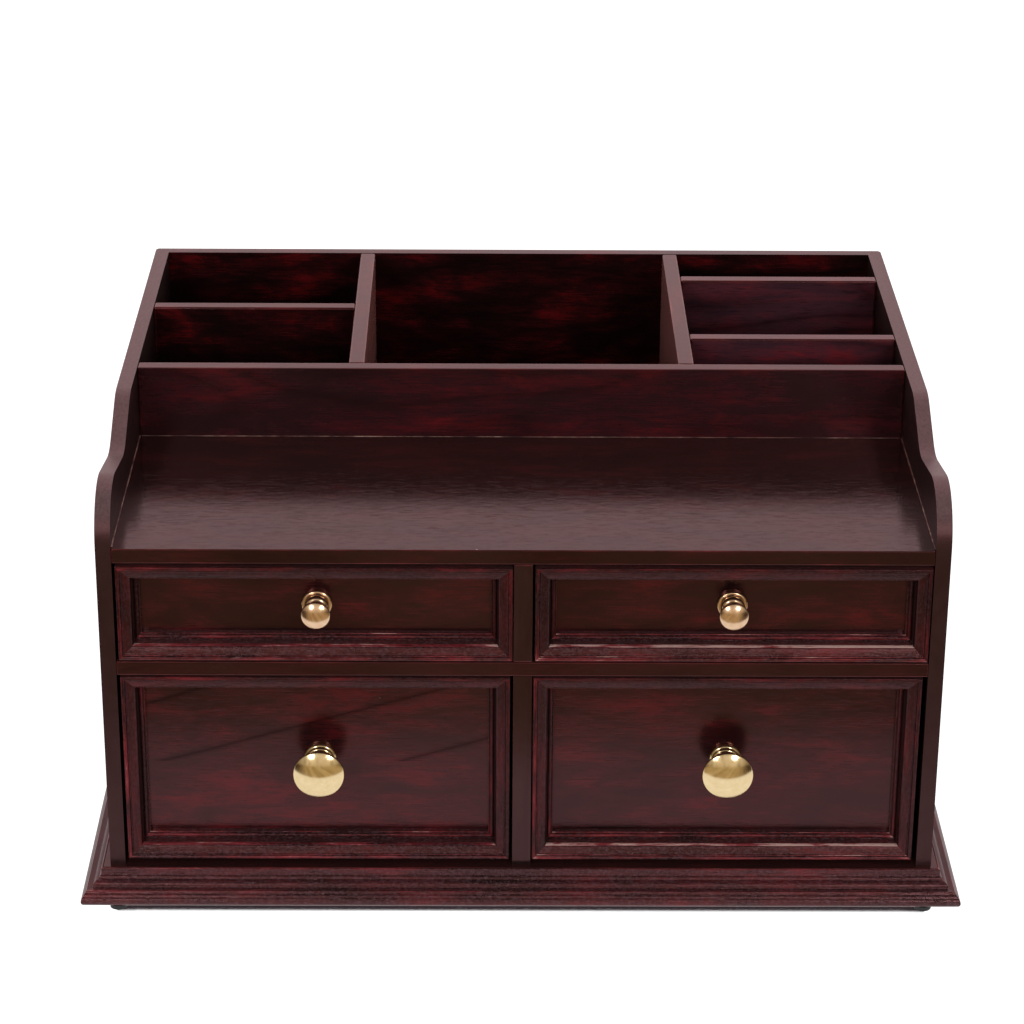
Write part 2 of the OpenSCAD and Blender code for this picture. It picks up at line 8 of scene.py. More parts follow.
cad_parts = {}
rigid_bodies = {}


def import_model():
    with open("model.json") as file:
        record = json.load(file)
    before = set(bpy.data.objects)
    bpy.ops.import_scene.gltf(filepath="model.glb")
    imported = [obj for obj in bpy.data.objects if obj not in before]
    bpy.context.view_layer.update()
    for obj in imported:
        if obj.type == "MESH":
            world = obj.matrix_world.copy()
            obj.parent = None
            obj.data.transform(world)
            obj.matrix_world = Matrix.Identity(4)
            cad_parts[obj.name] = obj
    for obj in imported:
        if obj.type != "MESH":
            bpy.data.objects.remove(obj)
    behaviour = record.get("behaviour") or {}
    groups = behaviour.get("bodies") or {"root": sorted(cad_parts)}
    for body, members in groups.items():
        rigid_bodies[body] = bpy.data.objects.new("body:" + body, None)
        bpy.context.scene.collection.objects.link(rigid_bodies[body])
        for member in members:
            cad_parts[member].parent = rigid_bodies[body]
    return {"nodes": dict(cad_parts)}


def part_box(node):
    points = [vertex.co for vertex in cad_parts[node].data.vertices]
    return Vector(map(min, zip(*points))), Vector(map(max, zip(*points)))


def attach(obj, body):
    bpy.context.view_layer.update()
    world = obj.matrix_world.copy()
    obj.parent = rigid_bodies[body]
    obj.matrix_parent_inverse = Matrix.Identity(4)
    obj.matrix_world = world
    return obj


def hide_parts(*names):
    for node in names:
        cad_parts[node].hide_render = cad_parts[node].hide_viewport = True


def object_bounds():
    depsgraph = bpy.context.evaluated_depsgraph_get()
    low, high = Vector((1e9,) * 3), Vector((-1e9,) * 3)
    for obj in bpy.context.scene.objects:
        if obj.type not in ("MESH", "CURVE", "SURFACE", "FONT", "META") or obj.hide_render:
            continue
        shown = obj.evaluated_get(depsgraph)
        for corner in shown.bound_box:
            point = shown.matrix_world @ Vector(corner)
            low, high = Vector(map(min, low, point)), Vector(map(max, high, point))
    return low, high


for left_over in list(bpy.data.objects):
    bpy.data.objects.remove(left_over)
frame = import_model()
cad_lowest, cad_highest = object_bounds()
nodes = frame["nodes"]

# ---------------------------------------------------------------------------
# Base board: one wide plank under the whole case, its front and side edges
# left proud of the panels. Planed hardwood, stained dark mahogany and finished
# with a thin gloss lacquer, which leaves the pores of the wood open.


def ink(written):
    """Linear colour of an sRGB hex value such as "#5a1014"."""
    parts = [int(written[i : i + 2], 16) / 255 for i in (1, 3, 5)]
    straight = [c / 12.92 if c <= 0.04045 else ((c + 0.055) / 1.055) ** 2.4 for c in parts]
    return (*straight, 1.0)


def add(tree, kind, links=None, stops=None, **settings):
    """Adds a node to a tree, with its settings and what runs into its sockets."""
    node = tree.nodes.new(kind)
    for setting, value in settings.items():
        setattr(node, setting, value)
    if stops:
        while len(node.color_ramp.elements) < len(stops):
            node.color_ramp.elements.new(0.5)
        for element, (place, colour) in zip(node.color_ramp.elements, stops):
            element.position = place
            element.color = ink(colour) if isinstance(colour, str) else (colour,) * 3 + (1,)
    for socket, value in (links or {}).items():
        if isinstance(value, bpy.types.NodeSocket):
            tree.links.new(value, node.inputs[socket])
        else:
            node.inputs[socket].default_value = value
    return node


def new_material(name):
    """A new material, its node tree, its shader and the place on the object."""
    material = bpy.data.materials.new(name)
    material.use_nodes = True
    tree = material.node_tree
    place = add(tree, "ShaderNodeTexCoord").outputs["Object"]
    return material, tree, tree.nodes["Principled BSDF"], place


# every stain runs from its darkest patches to its reddest
CASE_STAIN = ("#130808", "#1a0909", "#240a0b", "#380b0e")
WORN_STAIN = ("#260c0d", "#381112", "#501a1c", "#6d3033")


def leaning_rings(tree, place, swell, tip):
    """How near a growth ring lies in a flat-sawn front, 0 on the ring itself.

    Each ring leans away from its tip in a straight, thin line that wavers a
    little, ring_gap mm from the next one, and below the tip there is none.
    """
    ring_gap, lean, waver, thinned, out_of_reach = 110, 3.5, 0.16, 5.0, 9.0
    spot = add(tree, "ShaderNodeSeparateXYZ", {"Vector": place})
    above_tip = add(
        tree, "ShaderNodeMath", {0: spot.outputs["Z"], 1: tip[1] / 1000},
        operation="SUBTRACT",
    ).outputs[0]
    upright = add(
        tree, "ShaderNodeMath", {0: above_tip, 1: -lean, 2: spot.outputs["X"]},
        operation="MULTIPLY_ADD",
    ).outputs[0]
    straight_rings = add(
        tree, "ShaderNodeMath",
        {0: upright, 1: 1000 / ring_gap, 2: -tip[0] / ring_gap - waver / 2},
        operation="MULTIPLY_ADD",
    ).outputs[0]
    wavy_rings = add(
        tree, "ShaderNodeMath", {0: swell, 1: waver, 2: straight_rings},
        operation="MULTIPLY_ADD",
    ).outputs[0]
    ring_wave = add(
        tree, "ShaderNodeMath", {0: wavy_rings, 1: 0.5}, operation="PINGPONG"
    ).outputs[0]
    below = add(
        tree, "ShaderNodeMath", {0: above_tip, 1: 0.0}, operation="LESS_THAN"
    ).outputs[0]
    # below the tip the ring value is moved out of reach of the line
    put_away = add(
        tree, "ShaderNodeMath", {0: below, 1: out_of_reach}, operation="MULTIPLY"
    ).outputs[0]
    return add(
        tree, "ShaderNodeMath", {0: ring_wave, 1: thinned, 2: put_away},
        operation="MULTIPLY_ADD",
    ).outputs[0]


def worn_edges_and_corner_shade(tree, shown, patches, streaks, reddest):
    """Rubs back the edges of a piece, and paints shade into its corners."""
    # red first, then bare wood, broken up along the grain
    edge = add(tree, "ShaderNodeAttribute", attribute_name="edge").outputs["Fac"]
    patch_rub = add(
        tree, "ShaderNodeMath", {0: patches, 1: 2.2, 2: -2.45}, operation="MULTIPLY_ADD"
    ).outputs[0]
    uneven = add(
        tree, "ShaderNodeMath", {0: streaks, 1: 2.4, 2: patch_rub}, operation="MULTIPLY_ADD"
    ).outputs[0]
    on_edge = add(
        tree, "ShaderNodeMath", {0: edge, 1: 0.02}, operation="GREATER_THAN"
    ).outputs[0]
    rubbed = add(
        tree, "ShaderNodeMath", {0: uneven, 1: on_edge, 2: edge}, operation="MULTIPLY_ADD"
    ).outputs[0]
    worn = add(
        tree, "ShaderNodeValToRGB", {"Fac": rubbed},
        stops=[(0.2, reddest), (0.6, "#661a1f"), (0.9, "#7c2f33"), (1.0, "#b09088")],
    ).outputs["Color"]
    wear = add(
        tree, "ShaderNodeValToRGB", {"Fac": rubbed}, stops=[(0.15, 0.0), (0.7, 1.0)]
    ).outputs["Color"]
    edged = add(
        tree, "ShaderNodeMix", {"Factor": wear, "A": shown, "B": worn}, data_type="RGBA"
    ).outputs["Result"]
    # painted shade: near black where two members of a moulding meet
    painted_corner_shade = add(
        tree, "ShaderNodeMapRange",
        {"Value": edge, "From Min": 0.0, "From Max": -0.6, "To Max": 0.75},
    ).outputs["Result"]
    return add(
        tree, "ShaderNodeMix", {"Factor": painted_corner_shade, "A": edged, "B": ink("#140707")},
        data_type="RGBA",
    ).outputs["Result"]


def flecks_and_top_light(tree, shown, drawn_out, flecks, painted_top_light):
    """Dulls the film to a mauve grey in flecks, with the lamps' sparkle painted in, and paints a
    pinkish grey highlight where it faces up.

    The last argument says how strongly the faces that look up are lightened by that painted
    highlight.
    """
    fleck_gap = 1.2
    mottle = add(
        tree, "ShaderNodeTexNoise",
        {"Vector": drawn_out(1.5, 41), "Scale": 1 / fleck_gap, "Detail": 3, "Roughness": 0.75},
    ).outputs["Fac"]
    dulled_and_painted_light = add(
        tree, "ShaderNodeMapRange",
        {"Value": mottle, "From Min": 0.46, "From Max": 0.66, "To Max": flecks},
    ).outputs["Result"]
    # mauve grey flecks: a dulled film, with the lamps' sparkle painted in
    flecked = add(
        tree, "ShaderNodeMix", {"Factor": dulled_and_painted_light, "A": shown, "B": ink("#625058")},
        data_type="RGBA",
    ).outputs["Result"]
    # painted highlight: the faces that look up are lightened to a pinkish grey, in patches
    normal = add(tree, "ShaderNodeNewGeometry").outputs["Normal"]
    facing_up = add(tree, "ShaderNodeSeparateXYZ", {"Vector": normal}).outputs["Z"]
    painted_light_facing_up = add(
        tree, "ShaderNodeMapRange",
        {"Value": facing_up, "From Min": 0.25, "From Max": 0.65, "To Max": painted_top_light},
    ).outputs["Result"]
    patchy = add(
        tree, "ShaderNodeMapRange",
        {"Value": mottle, "From Min": 0.38, "From Max": 0.6, "To Min": 0.7},
    ).outputs["Result"]
    patchy_top_light = add(
        tree, "ShaderNodeMath", {0: painted_light_facing_up, 1: patchy}, operation="MULTIPLY"
    ).outputs[0]
    return add(
        tree, "ShaderNodeMix", {"Factor": patchy_top_light, "A": flecked, "B": ink("#8d7172")},
        data_type="RGBA",
    ).outputs["Result"]


def dust_specks(tree, shown, drawn_out, dust):
    """A few pale specks of dust in the lacquer, under a millimetre across."""
    speck_gap, speck_radius = 9, 0.45
    cell = add(
        tree, "ShaderNodeTexVoronoi", {"Vector": drawn_out(1.6, 3), "Scale": 1 / speck_gap}
    )
    lot = add(tree, "ShaderNodeSeparateColor", {"Color": cell.outputs["Color"]}).outputs["Red"]
    speck_size = add(
        tree, "ShaderNodeMapRange",
        {"Value": lot, "From Min": 1.0 - dust, "From Max": 1.0, "To Max": speck_radius / speck_gap},
    ).outputs["Result"]
    speck = add(
        tree, "ShaderNodeMath", {0: cell.outputs["Distance"], 1: speck_size},
        operation="LESS_THAN",
    ).outputs[0]
    speck_part = add(tree, "ShaderNodeMath", {0: speck, 1: 0.7}, operation="MULTIPLY").outputs[0]
    return add(
        tree, "ShaderNodeMix", {"Factor": speck_part, "A": shown, "B": ink("#b7a6a2")},
        data_type="RGBA",
    ).outputs["Result"]


def uneven_film(tree, shader, drawn_out, streaks, pore, rough, grain, peel_size, peel):
    """Lays the film a little uneven, with the pores and streaks showing through it."""
    film_roughness = add(
        tree, "ShaderNodeMath", {0: streaks, 1: 0.16, 2: rough - 0.08},
        operation="MULTIPLY_ADD",
    ).outputs[0]
    tree.links.new(film_roughness, shader.inputs["Roughness"])
    peel_swells = add(
        tree, "ShaderNodeTexNoise",
        {"Vector": drawn_out(1.8, 31), "Scale": 1 / peel_size, "Detail": 2},
    ).outputs["Fac"]
    sunken_pores = add(
        tree, "ShaderNodeMath", {0: pore, 1: -0.8, 2: streaks}, operation="MULTIPLY_ADD"
    ).outputs[0]
    relief = add(
        tree, "ShaderNodeMath", {0: sunken_pores, 1: grain}, operation="MULTIPLY"
    ).outputs[0]
    height = add(
        tree, "ShaderNodeMath", {0: peel_swells, 1: peel, 2: relief}, operation="MULTIPLY_ADD"
    ).outputs[0]
    bump = add(
        tree, "ShaderNodeBump", {"Height": height, "Strength": 1.0, "Distance": 0.001}
    ).outputs["Normal"]
    tree.links.new(bump, shader.inputs["Normal"])


def stained_wood(
    name, along, seed, colours=CASE_STAIN, red=0.0, rings=0.5, pores=0.4, rough=0.2,
    contrast=0.5, grain=0.02, peel_size=3.2, peel=0.05, dust=0.0, flecks=0.0, lacquer=0.6,
    bloom=0.12, tip=None, painted_top_light=0.0
):
    """Stained and lacquered hardwood with its grain along one axis.

    The eye sees dark and red patches drawn out along the grain, faint growth
    rings, hair-fine streaks and short open pores, under a thin shiny film. Where
    a piece carries an "edge" value, the stain is rubbed back to red or pale wood,
    and where that value is below 0, in its corners, shade is painted in.

    red moves the whole piece towards the red end of its colours, and contrast
    parts the dark patches from the red ones. rings, pores, dust, flecks, bloom
    and the lightening of the faces that look up say how strongly each shows; the
    flecks are a dulled film with sparkle painted in, and that lightening is a
    painted highlight. lacquer is how much the film throws back, and rough its
    roughness. grain and peel are heights in mm, and peel_size is how far apart
    the swells of the film lie. tip is the place in mm, along X and Z, where a
    growth ring of a flat-sawn front comes to its point.
    """
    material, tree, shader, place = new_material(name)
    shader.inputs["Specular IOR Level"].default_value = lacquer
    # the film itself is toned: it throws back a rosy light
    shader.inputs["Specular Tint"].default_value = ink("#ffafb3")
    # a bloom of fine dust and old polish, seen where the eye skims the surface
    shader.inputs["Sheen Weight"].default_value = bloom
    shader.inputs["Sheen Roughness"].default_value = 0.4
    shader.inputs["Sheen Tint"].default_value = ink("#ffa9a0")
    # how far apart the marks lie across the grain, in mm
    patch_gap, streak_gap, swell_gap, pore_gap = 13, 0.9, 46, 0.55

    def drawn_out(times, shift):
        """The place in mm, with the length of the board drawn in so many times."""
        scale = [1000 / times if axis == along else 1000 for axis in "XYZ"]
        offset = (seed * 37.1 + shift, seed * 91.7 - shift, seed * 53.3 + 2 * shift)
        return add(
            tree, "ShaderNodeMapping", {"Vector": place, "Location": offset, "Scale": scale}
        ).outputs["Vector"]

    # stain patches
    patches = add(
        tree, "ShaderNodeTexNoise",
        {"Vector": drawn_out(3.2, 0), "Scale": 1 / patch_gap, "Detail": 6, "Roughness": 0.66,
         "Distortion": 0.3},
    ).outputs["Fac"]
    # hair-fine streaks
    streaks = add(
        tree, "ShaderNodeTexNoise",
        {"Vector": drawn_out(24, 5), "Scale": 1 / streak_gap, "Detail": 4, "Roughness": 0.8},
    ).outputs["Fac"]
    # growth rings: contour lines of a slow swell along the board
    swell = add(
        tree, "ShaderNodeTexNoise",
        {"Vector": drawn_out(4, 11), "Scale": 1 / swell_gap, "Detail": 1, "Roughness": 0.35,
         "Distortion": 0.25},
    ).outputs["Fac"]
    if tip:
        ring = leaning_rings(tree, place, swell, tip)
    else:
        contours = add(
            tree, "ShaderNodeMath", {0: swell, 1: 9.0}, operation="MULTIPLY"
        ).outputs[0]
        ring = add(tree, "ShaderNodeMath", {0: contours, 1: 0.5}, operation="PINGPONG").outputs[0]
    ring_line = add(
        tree, "ShaderNodeValToRGB", {"Fac": ring}, stops=[(0.0, 1.0), (0.16, 0.35), (0.4, 0.0)]
    ).outputs["Color"]
    if tip:
        # the film has sunk into the open wood of the ring
        film = add(
            tree, "ShaderNodeMath", {0: ring_line, 1: -0.45 * lacquer, 2: lacquer},
            operation="MULTIPLY_ADD",
        ).outputs[0]
        tree.links.new(film, shader.inputs["Specular IOR Level"])
    # open pores: short dashes
    dashes = add(
        tree, "ShaderNodeTexNoise",
        {"Vector": drawn_out(14, 23), "Scale": 1 / pore_gap, "Detail": 1, "Roughness": 0.5},
    ).outputs["Fac"]
    pore = add(
        tree, "ShaderNodeValToRGB", {"Fac": dashes}, stops=[(0.58, 0.0), (0.70, 1.0)]
    ).outputs["Color"]

    # the stain's tone, then the rings and the pores over it
    streak_part = add(
        tree, "ShaderNodeMath", {0: streaks, 1: 0.36, 2: 0.32 - contrast / 2 + red},
        operation="MULTIPLY_ADD",
    ).outputs[0]
    tone = add(
        tree, "ShaderNodeMath", {0: patches, 1: contrast, 2: streak_part},
        operation="MULTIPLY_ADD",
    ).outputs[0]
    stain = add(
        tree, "ShaderNodeValToRGB", {"Fac": tone},
        stops=list(zip((0.37, 0.46, 0.56, 0.68), colours)),
    ).outputs["Color"]
    ring_part = add(
        tree, "ShaderNodeMath", {0: ring_line, 1: rings}, operation="MULTIPLY"
    ).outputs[0]
    ringed = add(
        tree, "ShaderNodeMix", {"Factor": ring_part, "A": stain, "B": ink("#060404")},
        data_type="RGBA",
    ).outputs["Result"]
    pore_part = add(
        tree, "ShaderNodeMath", {0: pore, 1: pores}, operation="MULTIPLY"
    ).outputs[0]
    pored = add(
        tree, "ShaderNodeMix", {"Factor": pore_part, "A": ringed, "B": ink("#120606")},
        data_type="RGBA",
    ).outputs["Result"]

    edged = worn_edges_and_corner_shade(tree, pored, patches, streaks, colours[3])
    dulled_and_painted_light = flecks_and_top_light(tree, edged, drawn_out, flecks, painted_top_light)
    dusted = dust_specks(tree, dulled_and_painted_light, drawn_out, dust)
    tree.links.new(dusted, shader.inputs["Base Color"])
    uneven_film(tree, shader, drawn_out, streaks, pore, rough, grain, peel_size, peel)
    return material


# turns the flat facets of the curved boards into smooth faces, and leaves every
# corner over 32 degrees crisp
smooth_faces = bpy.data.node_groups.new("smooth faces", "GeometryNodeTree")
smooth_faces.interface.new_socket("Geometry", in_out="INPUT", socket_type="NodeSocketGeometry")
smooth_faces.interface.new_socket("Geometry", in_out="OUTPUT", socket_type="NodeSocketGeometry")
arriving = add(smooth_faces, "NodeGroupInput").outputs[0]
plain = add(
    smooth_faces, "GeometryNodeRemoveAttribute", {"Geometry": arriving, "Name": "custom_normal"}
).outputs[0]
rounded = add(
    smooth_faces, "GeometryNodeSetShadeSmooth", {"Geometry": plain, "Shade Smooth": True},
    domain="FACE",
).outputs[0]
turn = add(smooth_faces, "GeometryNodeInputMeshEdgeAngle").outputs["Unsigned Angle"]
steep = add(
    smooth_faces, "ShaderNodeMath", {0: turn, 1: math.radians(32)}, operation="GREATER_THAN"
).outputs[0]
crisp = add(
    smooth_faces, "GeometryNodeSetShadeSmooth",
    {"Geometry": rounded, "Selection": steep, "Shade Smooth": False}, domain="EDGE",
).outputs[0]
add(smooth_faces, "NodeGroupOutput", {0: crisp})


def sand(node, width, wood, arris):
    """Rounds the sharp edges of a piece by width, in metres, and stains it."""
    node.modifiers.new("joined corners", "WELD").merge_threshold = 0.00001
    node.modifiers.new("smooth faces", "NODES").node_group = smooth_faces
    rounding = node.modifiers.new("broken edges", "BEVEL")
    rounding.limit_method = "ANGLE"
    rounding.angle_limit = math.radians(35)
    rounding.width = width
    rounding.segments = 3
    rounding.harden_normals = True
    rounding.material = 1
    node.data.materials.clear()
    node.data.materials.append(wood)
    node.data.materials.append(arris)


def board(node_name, along, seed, broken=0.0006, arris=None, **finish):
    """Stains one board of the case; along is the axis that its grain follows.

    broken is how far its edges are rounded, in metres, and arris is what the
    finish of those edges has of its own.
    """
    worn = dict(finish)
    worn.update(colours=WORN_STAIN, red=-0.06, rings=0, pores=0.3)
    worn.update(arris or {})
    sand(
        nodes[node_name], broken,
        stained_wood("mahogany stain " + node_name, along, seed, **finish),
        stained_wood("worn arris " + node_name, along, seed, **worn),
    )


board("base_board", "X", 1, broken=0.0003)

# ---------------------------------------------------------------------------
# Base mouldings: three strips, mitred at the front corners and glued round the
# base board. Run on a cutter from straight hardwood, then stained and lacquered,
# and rubbed back to red along every fine edge.


def bow(centre_x, centre_y, radius, first, last, count):
    """Points of an arc in a section, with its angles in degrees."""
    turns = [math.radians(first + (last - first) * i / count) for i in range(count + 1)]
    return [(centre_x + radius * math.cos(a), centre_y + radius * math.sin(a)) for a in turns]


def softened(section, spacing=0.22, passes=4):
    """Spaces the points of a section evenly, in mm, and softens its corners.

    Each point also gets its edge value: over 0 where it stands out, under 0
    where it lies in a corner.
    """
    points = []
    for (x0, y0), (x1, y1) in zip(section, section[1:]):
        steps = max(1, round(math.dist((x0, y0), (x1, y1)) / spacing))
        points += [(x0 + (x1 - x0) * i / steps, y0 + (y1 - y0) * i / steps) for i in range(steps)]
    points.append(section[-1])
    for _ in range(passes):
        points = (
            points[:1]
            + [
                ((p[0] + 2 * q[0] + r[0]) / 4, (p[1] + 2 * q[1] + r[1]) / 4)
                for p, q, r in zip(points, points[1:], points[2:])
            ]
            + points[-1:]
        )
    # radians: a turn that is still no edge, and how much more makes a full one
    slight_turn, full_turn = 0.25, 0.9
    valued = [(*points[0], 0.0)]
    for i, point in enumerate(points[1:-1], 1):
        before, after = points[max(0, i - 2)], points[min(len(points) - 1, i + 2)]
        way_in = math.atan2(point[1] - before[1], point[0] - before[0])
        way_out = math.atan2(after[1] - point[1], after[0] - point[0])
        turned = (way_out - way_in + math.pi) % (2 * math.pi) - math.pi
        strength = min(1.0, max(0.0, abs(turned) - slight_turn) / full_turn)
        valued.append((*point, math.copysign(strength, turned)))
    valued.append((*points[-1], 0.0))
    return valued


def run_moulding(
    mesh, edge_layer, section, stations, place, seed, rubbed=lambda a: 1.0, wood=0, groove=None
):
    """Sweeps a section between two ends and closes it: the real strip is solid.

    stations gives, for a point of the section, where the strip starts and ends,
    so that mitred ends come out right; place turns along, in and out into metres.
    rubbed says how far its edges are worn at a distance in, wood is the number of
    its material, and groove gives the part of the section with the next material.
    """
    # mm: between rows, over which the ends stay true, worn at a corner, and behind
    # which nothing of the section shows
    row_gap, true_end, chipped_end, hidden_back = 4, 12, 1.1, 11
    low, high = stations(0.0)
    count = max(6, round(abs(high - low) / row_gap))
    rows = []
    for k in range(count + 1):
        t = k / count
        row = []
        for a, d, edge in section:
            start, end = stations(a)
            s = start + (end - start) * t
            from_end = min(s - start, end - s)
            calm = min(1.0, from_end / true_end)
            # planed and rubbed by hand: a tenth of a millimetre up and down, in waves
            # 31 mm and 7 mm long
            wave = 0.5 + 0.5 * noise.noise(Vector((s / 31, seed * 7.7, a / 9)))
            ripple = 0.5 + 0.5 * noise.noise(Vector((s / 7, seed * 3.1, a / 2.5)))
            sunk = calm * (0.09 * wave + 0.05 * ripple)
            vertex = mesh.verts.new(place(s, a, d + sunk))
            chip = math.exp(-((from_end / chipped_end) ** 2)) if edge > 0.4 else 0.0
            vertex[edge_layer] = (edge + 0.3 * chip) * (rubbed(a) if edge > 0 else 1.0)
            row.append(vertex)
        rows.append(row)
    for row, following in zip(rows, rows[1:]):
        for i, (a, d, _) in enumerate(section):
            j = (i + 1) % len(section)
            face = mesh.faces.new((row[i], row[j], following[j], following[i]))
            sunk_in = groove and groove[0] < a < groove[1] and d < hidden_back
            face.material_index = wood + 1 if sunk_in else wood
    mesh.faces.new(rows[0])
    mesh.faces.new(list(reversed(rows[-1])))


def made_piece(name, mesh, *materials):
    """Turns a finished mesh into a piece with smooth faces and crisp corners."""
    bmesh.ops.recalc_face_normals(mesh, faces=mesh.faces)
    data = bpy.data.meshes.new(name)
    mesh.to_mesh(data)
    mesh.free()
    data.shade_smooth()
    data.set_sharp_from_angle(angle=math.radians(50))
    for material in materials:
        data.materials.append(material)
    piece = bpy.data.objects.new(name, data)
    bpy.context.scene.collection.objects.link(piece)
    return piece


MOULDING_STAIN = ("#160a0a", "#230c0d", "#350f11", "#541216")


def moulding_wood(name, along, seed, colours=MOULDING_STAIN, **finish):
    """The stained wood of a moulding, with its pores open, its film bumpy, and sparkle painted into
    it in mauve flecks.
    """
    usual = dict(
        rings=0, pores=0.6, rough=0.24, contrast=0.8, grain=0.07, peel_size=0.6, peel=0.07,
        dust=0.05, flecks=0.3,
    )
    return stained_wood(name, along, seed, colours, **{**usual, **finish})


# out from the base board, and down from its top, in mm: a fillet, a step, a
# quarter round, a ledge, a small hollow and a rolled lower edge
BASE_SECTION = softened(
    [(0, 15.5), (0, 0), (0.7, 0), (0.9, 0.3), (0.9, 3.4), (1.5, 3.7), (2.0, 4.4), (2.0, 5.1)]
    + bow(2.0, 7.7, 2.6, -90, 0, 10)
    + [(4.6, 8.2), (7.5, 8.2)]
    + bow(9.4, 8.2, 1.9, 180, 110, 8)
    + bow(7.6, 12.8, 2.4, -60, 0, 8)
    + bow(7.6, 13.1, 2.4, 0, 90, 10)
)
# the underside is planed off flat here
STRIP_HEIGHT = 15.3
low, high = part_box("base_moulding_front")
inner_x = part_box("base_board")[1].x * 1000
top_z = high.z
strips = (
    ("front", "X", lambda a: (-inner_x - a, inner_x + a),
     lambda s, a, d: (s / 1000, high.y - a / 1000, top_z - d / 1000)),
    ("left", "Y", lambda a: (high.y * 1000 - a, cad_highest.y * 1000),
     lambda s, a, d: (-(inner_x + a) / 1000, s / 1000, top_z - d / 1000)),
    ("right", "Y", lambda a: (high.y * 1000 - a, cad_highest.y * 1000),
     lambda s, a, d: ((inner_x + a) / 1000, s / 1000, top_z - d / 1000)),
)
for number, (side, along, stations, place) in enumerate(strips):
    mesh = bmesh.new()
    edge_layer = mesh.verts.layers.float.new("edge")
    section = [(a, min(d, STRIP_HEIGHT), edge) for a, d, edge in BASE_SECTION]
    run_moulding(mesh, edge_layer, section, stations, place, 2 + number)
    # the front strip gets a lighter stain, light painted in where it faces the lamps; the side
    # strips get fewer flecks of painted sparkle, and a flatter, duller film
    if side == "front":
        finish = dict(colours=("#1b0e0e", "#2a1213", "#3e1618", "#5c1a1e"))
    else:
        finish = dict(flecks=0.1, rough=0.36, peel=0.02, lacquer=0.45)
    wood = moulding_wood("moulded mahogany base " + side, along, 2 + number, **finish)
    strip = made_piece(side + "_base_strip", mesh, wood)
    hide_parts("base_moulding_" + side)
    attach(strip, "carcass")

# ---------------------------------------------------------------------------
# Foot pads: four small discs of black rubber, stuck under the corners of the
# base. Moulded, and a little grey with dust.


def black_rubber():
    """Moulded rubber: matt, with a fine grit that takes the light unevenly."""
    material, tree, shader, place = new_material("black rubber")
    grit = add(
        tree, "ShaderNodeTexNoise", {"Vector": place, "Scale": 1000 / 0.6, "Detail": 3}
    ).outputs["Fac"]
    colour = add(
        tree, "ShaderNodeValToRGB", {"Fac": grit}, stops=[(0.35, "#0c0c0d"), (0.7, "#1d1c1c")]
    ).outputs["Color"]
    tree.links.new(colour, shader.inputs["Base Color"])
    shader.inputs["Roughness"].default_value = 0.6
    bump = add(
        tree, "ShaderNodeBump", {"Height": grit, "Strength": 0.4, "Distance": 0.0001}
    ).outputs["Normal"]
    tree.links.new(bump, shader.inputs["Normal"])
    return material


rubber = black_rubber()
sand(nodes["foot_pads"], 0.0005, rubber, rubber)

# ---------------------------------------------------------------------------
# Base screws: zinc-plated countersunk wood screws, driven up through the base
# board into the panels.


def zinc_plate():
    """Bright zinc on steel: a cool grey with a soft, slightly cloudy shine."""
    material, tree, shader, place = new_material("zinc-plated steel")
    clouds = add(
        tree, "ShaderNodeTexNoise", {"Vector": place, "Scale": 1000 / 1.5, "Detail": 4}
    ).outputs["Fac"]
    colour = add(
        tree, "ShaderNodeValToRGB", {"Fac": clouds}, stops=[(0.3, "#8f9194"), (0.7, "#b9bcc0")]
    ).outputs["Color"]
    tree.links.new(colour, shader.inputs["Base Color"])
    shader.inputs["Metallic"].default_value = 1.0
    shader.inputs["Roughness"].default_value = 0.34
    return material


zinc = zinc_plate()
sand(nodes["base_screws"], 0.00015, zinc, zinc)

# ---------------------------------------------------------------------------
# Case: two side panels with a scrolled top edge, the back, the mid board, the
# shelf, the raised wall and the upright dividers. Solid boards, butted, glued
# and screwed, all with the same stain, which has aged differently on each.

# nearly black, with a painted highlight lightening the noses where they face up, and on the arrises
# orange peel with sparkle painted in mauve flecks
PANEL_STAIN = ("#100c0c", "#161110", "#1e1514", "#2b1716")
panel = dict(
    broken=0.001, colours=PANEL_STAIN, rough=0.4, bloom=0.0, peel_size=1.1, peel=0.03,
    painted_top_light=0.42,
    arris=dict(rough=0.18, peel_size=0.7, peel=0.3, flecks=0.4, bloom=0.3),
)
board("left_side_panel", "Y", 5, **panel)
board("right_side_panel", "Y", 6, **panel)
board("mid_board", "X", 8)
# the shelf has the thickest film, the wall and the back show the reddest wood
SHELF_STAIN = ("#0c0606", "#110707", "#1a0809", "#2a0a0c")
board(
    "shelf_board", "X", 9, colours=SHELF_STAIN, contrast=1.3, rings=0.3, dust=0.05, rough=0.14,
    bloom=0.05,
)
WALL_STAIN = ("#1b0e11", "#230f13", "#350f14", "#541116")
board("raised_wall", "X", 10, broken=0.001, colours=WALL_STAIN, contrast=0.75)
GLOWING_STAIN = ("#110606", "#1b0708", "#30090b", "#560d10")
board(
    "back_panel", "X", 7, broken=0.001, colours=GLOWING_STAIN, contrast=1.0, red=-0.01,
    bloom=0.0,
)
board("lower_centre_divider", "Z", 11, colours=PANEL_STAIN)
board("upper_centre_divider", "Z", 12, colours=PANEL_STAIN)

# ---------------------------------------------------------------------------
# Compartments: thinner boards let in behind the raised wall. Their top edges
# are rounded over by hand, and the two short ones on the right have gone hazy.

